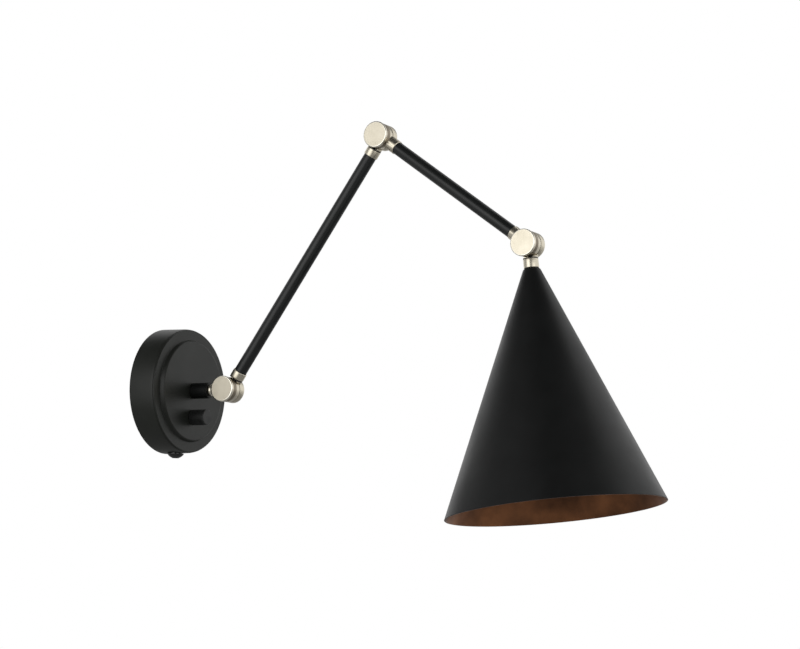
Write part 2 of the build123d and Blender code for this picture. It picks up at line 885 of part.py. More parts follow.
nipple_start = shade_neck_length - shade_neck_socket
holder_nipple = pipe(
    joint_3 + outward_3 * nipple_start,
    outward_3,
    nipple_radius,
    nipple_bore_radius,
    cap_top + holder_cap_floor - nipple_start,
)
save(holder_nipple, "lampholder_nipple")

mouth = cap_end + holder_body_height
shell_outside = screw_shell_radius + screw_shell_wall
shell_seat = mouth - screw_shell_length - 2 * fit_gap
contact_seat = shell_seat - contact_recess_depth
floor_top = contact_seat - holder_floor
lap_radius = cap_inner_radius - fit_gap
holder_body = turned(
    joint_3,
    outward_3,
    [
        (contact_stem_radius + fit_gap, floor_top),
        (shell_outside, floor_top),
        (shell_outside, cap_end - holder_lap),
        (lap_radius, cap_end - holder_lap),
        (lap_radius, cap_end),
        (holder_radius, cap_end),
        (holder_radius, mouth),
        (shell_outside + fit_gap, mouth),
        (shell_outside + fit_gap, shell_seat),
        (contact_recess_radius, shell_seat),
        (contact_recess_radius, contact_seat),
        (contact_stem_radius + fit_gap, contact_seat),
    ],
)
save(holder_body, "lampholder_body")

screw_shell = pipe(
    joint_3 + outward_3 * shell_seat,
    outward_3,
    shell_outside,
    screw_shell_radius,
    screw_shell_length,
)
save(screw_shell, "screw_shell")

centre_contact = turned(
    joint_3,
    outward_3,
    [
        (0, floor_top - contact_stem_proud),
        (contact_stem_radius, floor_top - contact_stem_proud),
        (contact_stem_radius, contact_seat),
        (contact_radius, contact_seat),
        (contact_radius, contact_seat + contact_height / 2),
        (contact_radius / 2, contact_seat + contact_height),
        (0, contact_seat + contact_height),
    ],
)
save(centre_contact, "centre_contact")

holder_cable = strand_pair(
    joint_3 + outward_3 * cable_inset,
    outward_3,
    cap_top + holder_cap_floor - cable_inset,
)
save(holder_cable, "lampholder_cable")

print("joint_2", joint_2, "joint_3", joint_3)
print("cap_top", round(cap_top, 2), "mouth", round(mouth, 2), "shell seat", round(shell_seat, 2))
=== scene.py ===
# %% [markdown]
# # Dressing a folding wall lamp
#
# The lamp has a black canopy with a dimmer knob, two slim arms on three nickel knuckles
# and a spun cone shade. Its construction comes from a CAD frame: every piece that moves
# or fits already has its real place and size there. This notebook gives the frame its
# looks. Round pieces are turned again with many more sides, worked pieces get soft
# edges, and each surface gets a finish made of nodes.
#
# Lengths are metres, as Blender wants them, and are written as a number times `mm`.

import json
from math import cos, pi, radians, sin

import bmesh
import bpy
from mathutils import Matrix, Vector


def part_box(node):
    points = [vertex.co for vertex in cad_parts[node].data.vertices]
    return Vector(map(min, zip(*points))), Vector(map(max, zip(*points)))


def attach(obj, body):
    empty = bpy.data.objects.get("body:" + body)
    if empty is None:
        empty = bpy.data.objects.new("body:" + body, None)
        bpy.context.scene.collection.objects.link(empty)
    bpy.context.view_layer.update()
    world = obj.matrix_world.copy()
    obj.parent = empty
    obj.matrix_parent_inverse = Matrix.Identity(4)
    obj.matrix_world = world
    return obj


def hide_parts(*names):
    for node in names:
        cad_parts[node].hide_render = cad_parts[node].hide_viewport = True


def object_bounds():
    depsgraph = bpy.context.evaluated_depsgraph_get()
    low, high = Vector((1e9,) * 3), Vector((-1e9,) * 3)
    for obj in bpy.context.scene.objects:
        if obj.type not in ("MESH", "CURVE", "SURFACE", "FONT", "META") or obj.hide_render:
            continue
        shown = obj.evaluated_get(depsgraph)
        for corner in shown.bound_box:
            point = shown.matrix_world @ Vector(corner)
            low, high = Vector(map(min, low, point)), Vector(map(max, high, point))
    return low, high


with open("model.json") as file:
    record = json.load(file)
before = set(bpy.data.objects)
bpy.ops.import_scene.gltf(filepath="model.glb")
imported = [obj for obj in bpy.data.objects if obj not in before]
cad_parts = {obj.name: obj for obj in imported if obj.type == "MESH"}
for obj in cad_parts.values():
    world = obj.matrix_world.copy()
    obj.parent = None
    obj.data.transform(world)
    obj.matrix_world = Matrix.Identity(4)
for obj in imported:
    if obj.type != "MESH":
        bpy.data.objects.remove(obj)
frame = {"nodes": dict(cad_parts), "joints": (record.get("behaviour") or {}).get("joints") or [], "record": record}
cad_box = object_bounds()
mm = 0.001

# %% [markdown]
# ## Where things are
#
# The joints of the frame say where the arms turn, and from them follow the directions
# of the arms. The shade's axis is the axis of its lampholder, which the frame's record
# states. A node's extent along such a direction is measured from its own corners, so
# nothing here has to repeat a length that the frame already knows.

# %% Joints, directions and a way to measure a node
joint_place = {
    joint["name"]: Vector(joint["pos_m"]) for joint in frame["joints"] if "pos_m" in joint
}
mount_axis = {mount["name"]: Vector(mount["axis"]) for mount in frame["record"]["mounts"]}

wall_pivot = joint_place["wall_joint"]
elbow_pivot = joint_place["elbow_joint"]
shade_pivot = joint_place["shade_joint"]
arm_1_line = (elbow_pivot - wall_pivot).normalized()
arm_2_line = (shade_pivot - elbow_pivot).normalized()
shade_line = mount_axis["lampholder"].normalized()
origin = Vector((0, 0, 0))
room_side = Vector((0, -1, 0))
wall_side = Vector((0, 1, 0))
left_side = Vector((-1, 0, 0))
right_side = Vector((1, 0, 0))
up = Vector((0, 0, 1))
down = Vector((0, 0, -1))
lamp_directions = [right_side, room_side, arm_1_line, arm_2_line, shade_line]


def reach(node, origin, direction):
    """Nearest and farthest distance of a node from a point, along a direction."""
    along = [(v.co - origin).dot(direction) for v in frame["nodes"][node].data.vertices]
    return min(along), max(along)


def radius_of(node):
    """Radius of a round node whose axis lies in the plane x = 0."""
    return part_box(node)[1].x


print("arm 1", round((elbow_pivot - wall_pivot).length / mm), "mm,",
      "arm 2", round((shade_pivot - elbow_pivot).length / mm), "mm")

# %% [markdown]
# ## The camera
#
# The photograph was taken from the left of the lamp, a little below it, with a long
# lens. The camera's place and turn were worked out by fitting the edges of the real
# pieces. The view is 59 degrees round from the front and looks up by 7.5 degrees.
# A wide lens close by would need the same direction but bend the shade's rim more, so
# the distance matters as well as the angle.

# %% Camera
view_around = radians(-59.45)
view_raise = radians(-7.52)
view_roll = radians(1.73)
camera_place = Vector((-1881.0, -1383.7, -230.1)) * mm
photo_width_px = 800
focal_length_px = 2284.5
sensor_width = 36.0

back = Vector((
    sin(view_around) * cos(view_raise),
    -cos(view_around) * cos(view_raise),
    sin(view_raise),
))
level_right = Vector((cos(view_around), sin(view_around), 0))
level_up = back.cross(level_right)
camera_right = level_right * cos(view_roll) + level_up * sin(view_roll)
camera_up = level_up * cos(view_roll) - level_right * sin(view_roll)

camera = bpy.data.objects.new("camera", bpy.data.cameras.new("camera"))
camera.data.sensor_width = sensor_width
camera.data.lens = focal_length_px * sensor_width / photo_width_px
camera.data.clip_end = 100
turn = Matrix((camera_right, camera_up, back)).transposed().to_4x4()
camera.matrix_world = Matrix.Translation(camera_place) @ turn
bpy.context.scene.collection.objects.link(camera)
bpy.context.scene.camera = camera
print("lens", round(camera.data.lens, 1), "mm")

# %% [markdown]
# ## Light and floor
#
# A black object is mostly seen by what it reflects, so the studio is arranged for its
# reflections. A white world gives the pale backdrop. A softbox on each side of the camera
# draws the light bands on the arms, on the necks and on the canopy's shoulders, and lights
# the discs of the knuckles. Dark flags, as a photographer would hang them, lie overhead,
# below, behind and between the softboxes. Only reflections see them: they keep the middle
# of the shade deep black and give the nickel its dark bands. The floor lies as far below
# the lamp as it does under a lamp on a wall, so a camera can look up at it from below.

# %% World, lamps, flags and floor
ambient_strength = 0.62
floor_height = -1.6
floor_size = 110.0
floor_colour = (0.86, 0.86, 0.85, 1)
floor_roughness = 0.9

world = bpy.data.worlds.new("studio")
bpy.context.scene.world = world
world.use_nodes = True
world_nodes = world.node_tree.nodes
world_links = world.node_tree.links
soft_white = world_nodes["Background"]
soft_white.inputs["Color"].default_value = (1, 1, 1, 1)
soft_white.inputs["Strength"].default_value = ambient_strength
seen_white = world_nodes.new("ShaderNodeBackground")
seen_white.inputs["Color"].default_value = (1, 1, 1, 1)
seen_white.inputs["Strength"].default_value = 1.0
ray = world_nodes.new("ShaderNodeLightPath")
camera_or_glossy = world_nodes.new("ShaderNodeMath")
camera_or_glossy.operation = "MAXIMUM"
world_links.new(ray.outputs["Is Camera Ray"], camera_or_glossy.inputs[0])
world_links.new(ray.outputs["Is Glossy Ray"], camera_or_glossy.inputs[1])
seen = world_nodes.new("ShaderNodeMath")
seen.operation = "MAXIMUM"
world_links.new(camera_or_glossy.outputs[0], seen.inputs[0])
world_links.new(ray.outputs["Is Transmission Ray"], seen.inputs[1])
choose = world_nodes.new("ShaderNodeMixShader")
world_links.new(seen.outputs[0], choose.inputs["Fac"])
world_links.new(soft_white.outputs[0], choose.inputs[1])
world_links.new(seen_white.outputs[0], choose.inputs[2])
world_links.new(choose.outputs[0], world_nodes["World Output"].inputs["Surface"])

lamp_centre = (cad_box[0] + cad_box[1]) / 2


def aim(thing, place, target):
    """Put a lamp or a flag at a place, with its face towards a target."""
    thing.location = place
    thing.rotation_mode = "QUATERNION"
    thing.rotation_quaternion = (target - place).to_track_quat("-Z", "Y")
    bpy.context.scene.collection.objects.link(thing)


def soft_lamp(name, place, width, height, brightness):
    """A large area lamp that the camera doesn't see. A brightness of 1 is as white as the world."""
    light = bpy.data.lights.new(name, "AREA")
    light.shape = "RECTANGLE"
    light.size = width
    light.size_y = height
    light.energy = brightness * 4 * width * height
    lamp = bpy.data.objects.new(name, light)
    lamp.visible_camera = False
    aim(lamp, place, lamp_centre)


soft_lamp("left_softbox", Vector((-1.33, 0.03, 0.19)), width=1.2, height=1.5, brightness=0.8)
soft_lamp("right_softbox", Vector((-0.60, -1.75, -0.05)), width=1.0, height=1.2, brightness=0.6)


def flag(name, place, target, width, height, grey):
    """A flat dark card that shows in reflections alone."""
    bm = bmesh.new()
    bmesh.ops.create_grid(bm, x_segments=1, y_segments=1, size=0.5)
    bmesh.ops.scale(bm, vec=(width, height, 1), verts=bm.verts)
    mesh = bpy.data.meshes.new(name)
    bm.to_mesh(mesh)
    bm.free()
    thing = bpy.data.objects.new(name, mesh)
    paint = bpy.data.materials.new(name)
    paint.use_nodes = True
    paint.node_tree.nodes.clear()
    glow = paint.node_tree.nodes.new("ShaderNodeEmission")
    glow.inputs["Color"].default_value = (grey, grey, grey, 1)
    output = paint.node_tree.nodes.new("ShaderNodeOutputMaterial")
    paint.node_tree.links.new(glow.outputs[0], output.inputs["Surface"])
    mesh.materials.append(paint)
    aim(thing, place, target)
    thing.visible_camera = False
    thing.visible_diffuse = False
    thing.visible_shadow = False


flag("overhead_flag", Vector((-1.3, -0.3, 1.5)), Vector((-1.3, -0.3, 0)),
     width=3.8, height=4.6, grey=0.06)
flag("floor_flag", Vector((0.3, -0.4, -0.6)), Vector((0.3, -0.4, 0)),
     width=2.8, height=2.8, grey=0.25)
flag("front_flag", Vector((-1.36, -0.9, 0.06)), lamp_centre,
     width=0.65, height=1.9, grey=0.12)
flag("back_flag", Vector((-1.4, 1.4, 0.3)), Vector((-1.4, 0, 0.3)),
     width=2.8, height=3.4, grey=0.42)
flag("right_flag", Vector((1.5, 0.05, 1.1)), lamp_centre,
     width=1.3, height=0.9, grey=0.3)

bm = bmesh.new()
bmesh.ops.create_grid(bm, x_segments=1, y_segments=1, size=floor_size / 2)
bmesh.ops.translate(bm, vec=(0, 0, floor_height), verts=bm.verts)
floor_mesh = bpy.data.meshes.new("floor")
bm.to_mesh(floor_mesh)
bm.free()
floor = bpy.data.objects.new("floor", floor_mesh)
bpy.context.scene.collection.objects.link(floor)
floor_paint = bpy.data.materials.new("floor_paint")
floor_paint.use_nodes = True
floor_shader = floor_paint.node_tree.nodes["Principled BSDF"]
floor_shader.inputs["Base Color"].default_value = floor_colour
floor_shader.inputs["Roughness"].default_value = floor_roughness
floor_mesh.materials.append(floor_paint)
bpy.context.scene.view_settings.view_transform = "Standard"
print("floor at", floor_height, "m")

# %% [markdown]
# ## Node helpers for the finishes
#
# Every finish starts from one Principled shader. Noise at the scale of the real grain
# drives its colour, its roughness and a small bump. All patterns read Object
# coordinates. A piece's object sits at the origin, so these are real metres, and a
# noise scale of 1000 gives grains of one millimetre.

# %% Node helpers


class Finish:
    """One material, with small functions that add its nodes."""

    def __init__(self, name, metallic):
        self.material = bpy.data.materials.new(name)
        self.material.use_nodes = True
        self.nodes = self.material.node_tree.nodes
        self.links = self.material.node_tree.links
        self.shader = self.nodes["Principled BSDF"]
        self.shader.inputs["Metallic"].default_value = metallic
        self.place = self.nodes.new("ShaderNodeTexCoord").outputs["Object"]
        self.bumped = None

    def noise(self, scale, detail=2.0, stretch=(1, 1, 1)):
        """Grain with a number of grains per metre, drawn out by a stretch along each axis."""
        mapping = self.nodes.new("ShaderNodeMapping")
        mapping.inputs["Scale"].default_value = stretch
        self.links.new(self.place, mapping.inputs["Vector"])
        noise = self.nodes.new("ShaderNodeTexNoise")
        noise.inputs["Scale"].default_value = scale
        noise.inputs["Detail"].default_value = detail
        self.links.new(mapping.outputs[0], noise.inputs["Vector"])
        return noise.outputs["Fac"]

    def rings(self, axis, per_metre):
        """Fine lines square to an axis, as a lathe tool leaves them."""
        along = self.nodes.new("ShaderNodeVectorMath")
        along.operation = "DOT_PRODUCT"
        along.inputs[1].default_value = axis
        self.links.new(self.place, along.inputs[0])
        noise = self.nodes.new("ShaderNodeTexNoise")
        noise.noise_dimensions = "1D"
        noise.inputs["Scale"].default_value = per_metre
        noise.inputs["Detail"].default_value = 3.0
        self.links.new(along.outputs["Value"], noise.inputs["W"])
        return noise.outputs["Fac"]

    def colour(self, factor, low, high):
        """Base colour that runs from one colour to another."""
        mix = self.nodes.new("ShaderNodeMix")
        mix.data_type = "RGBA"
        mix.inputs["A"].default_value = (*low, 1)
        mix.inputs["B"].default_value = (*high, 1)
        self.links.new(self.stretched(factor, 0, 1), mix.inputs["Factor"])
        self.links.new(mix.outputs["Result"], self.shader.inputs["Base Color"])

    def stretched(self, factor, low, high):
        """A noise, whose values crowd round a half, spread over a range."""
        spread = self.nodes.new("ShaderNodeMapRange")
        spread.inputs["From Min"].default_value = 0.3
        spread.inputs["From Max"].default_value = 0.7
        spread.inputs["To Min"].default_value = low
        spread.inputs["To Max"].default_value = high
        self.links.new(factor, spread.inputs["Value"])
        return spread.outputs["Result"]

    def roughness(self, factor, low, high):
        """Roughness that runs over a range."""
        self.links.new(self.stretched(factor, low, high), self.shader.inputs["Roughness"])

    def bump(self, height, strength, depth):
        """Add a bump on top of any earlier one."""
        bump = self.nodes.new("ShaderNodeBump")
        bump.inputs["Strength"].default_value = strength
        bump.inputs["Distance"].default_value = depth
        self.links.new(height, bump.inputs["Height"])
        if self.bumped:
            self.links.new(self.bumped, bump.inputs["Normal"])
        self.bumped = bump.outputs["Normal"]
        self.links.new(self.bumped, self.shader.inputs["Normal"])


# %% [markdown]
# ## Satin black paint
#
# The canopy, the arms and the outside of the shade are powder coated. Powder melts
# into a skin with a faint orange peel, a fraction of a millimetre across, which blurs
# reflections more than a smooth paint would. The colour hardly varies, and the
# roughness varies in soft patches a few centimetres wide.

# %% Paint finishes


def powder_black(name, low, high, smoothest, roughest, gloss=0.3):
    """Powder coat, with an orange peel of two sizes."""
    finish = Finish(name, metallic=0.0)
    finish.shader.inputs["Specular IOR Level"].default_value = gloss
    finish.colour(finish.noise(45, 3), low, high)
    finish.roughness(finish.noise(28, 4), smoothest, roughest)
    finish.bump(finish.noise(1500, 2), 0.10, 0.06 * mm)
    finish.bump(finish.noise(420, 1), 0.06, 0.10 * mm)
    return finish.material


canopy_paint = powder_black("canopy_paint", (0.0095, 0.0105, 0.0085), (0.0135, 0.0150, 0.0125),
                            smoothest=0.36, roughest=0.44)
post_paint = powder_black("post_paint", (0.002, 0.0024, 0.0022), (0.003, 0.0035, 0.0033),
                          smoothest=0.44, roughest=0.52)
arm_paint = powder_black("arm_paint", (0.006, 0.007, 0.0068), (0.009, 0.0103, 0.010),
                         smoothest=0.30, roughest=0.38, gloss=0.42)
shade_paint = powder_black("shade_paint", (0.003, 0.0033, 0.0033), (0.0045, 0.005, 0.005),
                           smoothest=0.40, roughest=0.48)

# %% [markdown]
# The inside of the shade is a brown copper paint with metal flakes. The paint lies in
# cloudy patches some centimetres wide, and the flakes are a grain that only just shows.
# One coarse noise gives the clouds their colour, and a fine one turns the flakes a
# little this way and that, which breaks up what they reflect.

# %% Copper inside
copper = Finish("copper_inside", metallic=0.75)
copper.colour(copper.noise(30, 7), (0.065, 0.026, 0.011), (0.27, 0.110, 0.044))
copper.roughness(copper.noise(40, 3), 0.36, 0.48)
copper.bump(copper.noise(800, 3), 0.5, 0.2 * mm)
copper_inside = copper.material

# %% [markdown]
# ## Satin nickel
#
# The knuckles are turned from brass and nickel plated. Their round sides keep the rings
# of the lathe tool, and their flat discs are brushed in one direction. Both are thin
# lines, so they are noise that varies quickly one way and not at all the other way.
# Edges are polished smoother than the faces, and their lighter colour is a painted highlight. The grooves, and a
# band of each front barrel beside its cap, get a brown painted shade.

# %% Nickel finishes
nickel_light = (0.72, 0.665, 0.545)
nickel_dark = (0.63, 0.58, 0.465)


def turned_nickel(name, axis):
    """Nickel with the rings of the lathe tool round an axis."""
    finish = Finish(name, metallic=1.0)
    lines = finish.rings(axis, 1500)
    finish.colour(lines, nickel_dark, nickel_light)
    finish.roughness(finish.rings(axis, 2600), 0.27, 0.36)
    finish.bump(lines, 0.25, 0.03 * mm)
    return finish.material


def brushed_nickel(name):
    """Nickel with hairlines, which run up the discs of the knuckles."""
    finish = Finish(name, metallic=1.0)
    finish.colour(finish.noise(70, 3), nickel_dark, nickel_light)
    hairs = finish.noise(1, 3, (400, 7000, 260))
    finish.roughness(hairs, 0.31, 0.41)
    finish.bump(hairs, 0.25, 0.02 * mm)
    return finish.material


def highlight_nickel(name):
    """Polished edges: smoother than the faces, and lighter in colour as a painted highlight, a thin bright line.
    """
    finish = Finish(name, metallic=1.0)
    finish.colour(finish.noise(90, 2), (0.86, 0.82, 0.71), (0.94, 0.90, 0.80))
    finish.roughness(finish.noise(200, 2), 0.20, 0.28)
    finish.bump(finish.noise(1500, 2), 0.05, 0.02 * mm)
    return finish.material


def painted_shade_finish(name):
    """Dark brown nickel, painted into grooves and beside them as painted shade."""
    finish = Finish(name, metallic=1.0)
    finish.colour(finish.noise(260, 3), (0.24, 0.205, 0.155), (0.36, 0.315, 0.245))
    finish.roughness(finish.noise(400, 3), 0.34, 0.48)
    finish.bump(finish.noise(1500, 2), 0.12, 0.02 * mm)
    return finish.material


disc_nickel = brushed_nickel("disc_nickel")
# A lighter colour on the polished edges, as a painted highlight.
painted_highlight_edge = highlight_nickel("painted_highlight_edge")
# Brown painted shade for the grooves and for a band of each front barrel beside its cap.
painted_shade_nickel = painted_shade_finish("painted_shade_nickel")
# Black paint on the boss beside each ferrule, a painted shadow where the joint is.
painted_shadow_black = powder_black("painted_shadow_black", (0.004, 0.004, 0.004), (0.008, 0.008, 0.008),
                           smoothest=0.5, roughest=0.6)
barrel_nickel = turned_nickel("barrel_nickel", right_side)
wall_neck_nickel = turned_nickel("wall_neck_nickel", room_side)
arm_1_nickel = turned_nickel("arm_1_nickel", arm_1_line)
arm_2_nickel = turned_nickel("arm_2_nickel", arm_2_line)
shade_neck_nickel = turned_nickel("shade_neck_nickel", shade_line)

# %% [markdown]
# ## Finishes of the small and hidden pieces
#
# Each has its own short recipe: zinc plated steel with crystal patches, moulded black
# plastic with a fine grain, glossy bushing plastic, speckled phenolic for the
# lampholder, rolled brass, and the soft insulation of the leads.

# %% Small finishes


def zinc_steel(name):
    """Zinc plate, whose crystals are a few millimetres wide."""
    finish = Finish(name, metallic=1.0)
    finish.colour(finish.noise(240, 2), (0.48, 0.49, 0.50), (0.66, 0.66, 0.65))
    finish.roughness(finish.noise(500, 3), 0.30, 0.48)
    finish.bump(finish.noise(900, 2), 0.12, 0.04 * mm)
    return finish.material


def plastic(name, low, high, smoothest, roughest, grain=1400, depth=0.05 * mm):
    """Moulded plastic, with the grain of its mould."""
    finish = Finish(name, metallic=0.0)
    finish.colour(finish.noise(160, 3), low, high)
    finish.roughness(finish.noise(120, 3), smoothest, roughest)
    finish.bump(finish.noise(grain, 2), 0.2, depth)
    return finish.material


def speckled_phenolic(name):
    """Old fashioned holder plastic, dark with paler specks."""
    finish = Finish(name, metallic=0.0)
    finish.colour(finish.noise(2600, 4), (0.010, 0.008, 0.007), (0.045, 0.034, 0.028))
    finish.roughness(finish.noise(200, 2), 0.28, 0.42)
    finish.bump(finish.noise(700, 2), 0.1, 0.05 * mm)
    return finish.material


def rolled_brass(name):
    """Brass sheet that was rolled into a shell round the shade's axis."""
    finish = Finish(name, metallic=1.0)
    finish.colour(finish.noise(300, 3), (0.58, 0.40, 0.16), (0.78, 0.60, 0.30))
    finish.roughness(finish.noise(400, 3), 0.22, 0.40)
    finish.bump(finish.rings(shade_line, 3000), 0.15, 0.03 * mm)
    return finish.material


zinc = zinc_steel("zinc_steel")
knob_plastic = plastic("knob_plastic", (0.004, 0.0045, 0.0042), (0.008, 0.009, 0.0085),
                       0.46, 0.58, grain=1800, depth=0.06 * mm)
bushing_plastic = plastic("bushing_plastic", (0.006, 0.006, 0.006), (0.010, 0.010, 0.010),
                          0.10, 0.20, grain=500, depth=0.02 * mm)
dimmer_plastic = plastic("dimmer_plastic", (0.035, 0.036, 0.040), (0.060, 0.061, 0.066), 0.5, 0.65)
washer_plastic = plastic("washer_plastic", (0.60, 0.58, 0.53), (0.72, 0.70, 0.65), 0.4, 0.5)
collar_plastic = plastic("collar_plastic", (0.03, 0.03, 0.03), (0.05, 0.05, 0.05), 0.45, 0.6)
connector_plastic = plastic("connector_plastic", (0.62, 0.20, 0.02), (0.74, 0.27, 0.04),
                            0.38, 0.5, grain=900, depth=0.08 * mm)
black_lead = plastic("black_lead", (0.012, 0.012, 0.012), (0.02, 0.02, 0.02), 0.4, 0.5)
white_lead = plastic("white_lead", (0.62, 0.61, 0.58), (0.72, 0.71, 0.68), 0.4, 0.5)
green_lead = plastic("green_lead", (0.02, 0.20, 0.06), (0.03, 0.27, 0.09), 0.4, 0.5)
red_lead = plastic("red_lead", (0.42, 0.02, 0.02), (0.52, 0.035, 0.03), 0.4, 0.5)
green_paint = plastic("green_paint", (0.03, 0.24, 0.08), (0.05, 0.32, 0.11), 0.3, 0.42)
phenolic = speckled_phenolic("speckled_phenolic")
brass = rolled_brass("rolled_brass")
print("finishes", len(bpy.data.materials))

# %% [markdown]
# ## Turning and trimming
#
# Most of the lamp is round. A turned piece is an outline, drawn as radius against
# distance along an axis, and spun a full turn with bmesh. Its corners are rounded in
# the outline or bevelled, so that each edge catches a thin line of light, as a real one
# does. Faces are smooth shaded, and edges that stay sharp are marked by their angle.

# %% Helpers that turn, soften and finish a piece
merge_distance = 0.001 * mm
sharp_angle = radians(32)


def turn_outline(outline, origin, direction, steps=96, closed=True):
    """Spin an outline of (radius, distance) points round an axis."""
    bm = bmesh.new()
    side = right_side if abs(direction.x) < 0.9 else up
    points = [bm.verts.new(origin + side * radius + direction * along) for radius, along in outline]
    pairs = list(zip(points, points[1:]))
    if closed:
        pairs.append((points[-1], points[0]))
    lines = [bm.edges.new(pair) for pair in pairs]
    bmesh.ops.spin(bm, geom=points + lines, cent=origin, axis=direction, angle=2 * pi,
                   steps=steps, use_merge=True)
    bmesh.ops.remove_doubles(bm, verts=bm.verts, dist=merge_distance)
    bmesh.ops.recalc_face_normals(bm, faces=bm.faces)
    return bm


def longest_edge(face):
    """Length of a face's longest edge."""
    return max(edge.calc_length() for edge in face.edges)


def soften(bm, width, segments=2, sharper_than=35):
    """Bevel the edges where two faces meet at more than an angle in degrees."""
    sharp = [edge for edge in bm.edges
             if len(edge.link_faces) == 2 and edge.calc_face_angle(0) > radians(sharper_than)]
    bmesh.ops.bevel(bm, geom=sharp, offset=width, offset_type="OFFSET", affect="EDGES",
                    segments=segments, profile=0.5, material=-1, clamp_overlap=True)


def merged_copy(node):
    """A copy of a frame node, with its loose triangles joined."""
    bm = bmesh.new()
    bm.from_mesh(frame["nodes"][node].data)
    bmesh.ops.remove_doubles(bm, verts=bm.verts, dist=merge_distance)
    bmesh.ops.dissolve_limit(bm, angle_limit=radians(0.5), verts=bm.verts, edges=bm.edges)
    return bm


def finish_piece(name, bm, body, materials, nodes, flat_along=()):
    """Turn a bmesh into a piece that rides on a body and stands for frame nodes.

    Faces square to a direction in flat_along stay flat, and all others are shaded smooth.
    """
    mesh = bpy.data.meshes.new(name)
    bm.to_mesh(mesh)
    bm.free()
    for material in materials:
        mesh.materials.append(material)
    mesh.shade_smooth()
    mesh.set_sharp_from_angle(angle=sharp_angle)
    for face in mesh.polygons:
        face.use_smooth = all(abs(face.normal.dot(direction)) < 0.9999 for direction in flat_along)
    piece = bpy.data.objects.new(name, mesh)
    bpy.context.scene.collection.objects.link(piece)
    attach(piece, body)
    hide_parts(*nodes)
    print(name, len(mesh.polygons), "faces")
    return piece


def cut_away(bm, cutter_bm):
    """Take one bmesh out of another with a Boolean modifier, and return the new bmesh."""
    pair = []
    for source, label in ((bm, "work"), (cutter_bm, "cutter")):
        mesh = bpy.data.meshes.new(label)
        source.to_mesh(mesh)
        source.free()
        pair.append(bpy.data.objects.new(label, mesh))
        bpy.context.scene.collection.objects.link(pair[-1])
    work, cutter = pair
    cut = work.modifiers.new("cut", "BOOLEAN")
    cut.operation = "DIFFERENCE"
    cut.solver = "EXACT"
    cut.object = cutter
    bpy.context.view_layer.update()
    result = bmesh.new()
    result.from_object(work, bpy.context.evaluated_depsgraph_get())
    for thing in pair:
        data = thing.data
        bpy.data.objects.remove(thing)
        bpy.data.meshes.remove(data)
    return result


def drill(bm, origin, direction, radius, length, steps=48):
    """Cut a round hole that starts at a point."""
    return cut_away(bm, turn_outline([(0, 0), (radius, 0), (radius, length), (0, length)],
                                     origin, direction, steps, closed=False))


def islands(bm):
    """The separate shells of a bmesh, each as a list of faces."""
    left = set(bm.faces)
    shells = []
    for first in bm.faces:
        if first not in left:
            continue
        left.remove(first)
        shell = [first]
        for face in shell:  # the shell grows while it is read
            for edge in face.edges:
                for other in edge.link_faces:
                    if other in left:
                        left.remove(other)
                        shell.append(other)
        shells.append(shell)
    return shells


def added(bm, other):
    """Put a second bmesh into a first one, and return the new faces."""
    mesh = bpy.data.meshes.new("addition")
    other.to_mesh(mesh)
    other.free()
    before = set(bm.faces)
    bm.from_mesh(mesh)
    bpy.data.meshes.remove(mesh)
    return [face for face in bm.faces if face not in before]


def split_at(bm, place, direction):
    """Cut all faces along a plane, and keep both sides."""
    bmesh.ops.bisect_plane(bm, geom=bm.verts[:] + bm.edges[:] + bm.faces[:], dist=merge_distance,
                           plane_co=place, plane_no=direction)


def rounded(corner, before, after, radius, parts=5):
    """Points of an arc that rounds the corner between two straight stretches."""
    corner, before, after = Vector(corner), Vector(before), Vector(after)
    start = corner + (before - corner).normalized() * radius
    end = corner + (after - corner).normalized() * radius
    points = []
    for k in range(parts + 1):
        t = k / parts
        points.append(tuple((1 - t) ** 2 * start + 2 * t * (1 - t) * corner + t ** 2 * end))
    return points


# %% [markdown]
# ## The canopy
#
# The canopy is a pressed steel cup. Its face steps up twice: a narrow ledge where the
# side wall ends, and a raised disc in the middle. The steps are what tell it from a
# plain drum, so they get finer rounding than the frame has. Pressed steel needs a draw
# to come off its tool, so the steps lean a little, and that is why they catch the light
# as soft lines. The side has 160 faces round, so that its edge looks round from close
# by. The holes are cut last.

# %% Canopy
canopy_radius = radius_of("canopy")
face_depth = -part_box("canopy")[0].y
wall = 1.2 * mm
side_draw = 0.6 * mm
shoulder_depth = 24.8 * mm
shoulder_draw = 0.45 * mm
ledge_depth = 27.4 * mm
ledge_step = 0.5 * mm
ring_depth = 28.8 * mm
disc_radius = 50.3 * mm
disc_draw = 1.3 * mm
disc_round = 0.9 * mm
foot_round = 0.6 * mm
ring_round = 0.7 * mm
ledge_round = 0.35 * mm
wall_radius = canopy_radius - side_draw - shoulder_draw
ring_radius = wall_radius - ledge_step
shoulder_edge = (wall_radius + shoulder_draw, shoulder_depth)
ledge_edge = (wall_radius, ledge_depth)
ledge_inside = (ring_radius, ledge_depth)
ring_edge = (ring_radius, ring_depth)
disc_base = (disc_radius + disc_draw, ring_depth)
disc_edge = (disc_radius, face_depth)
face_middle = (0, face_depth)

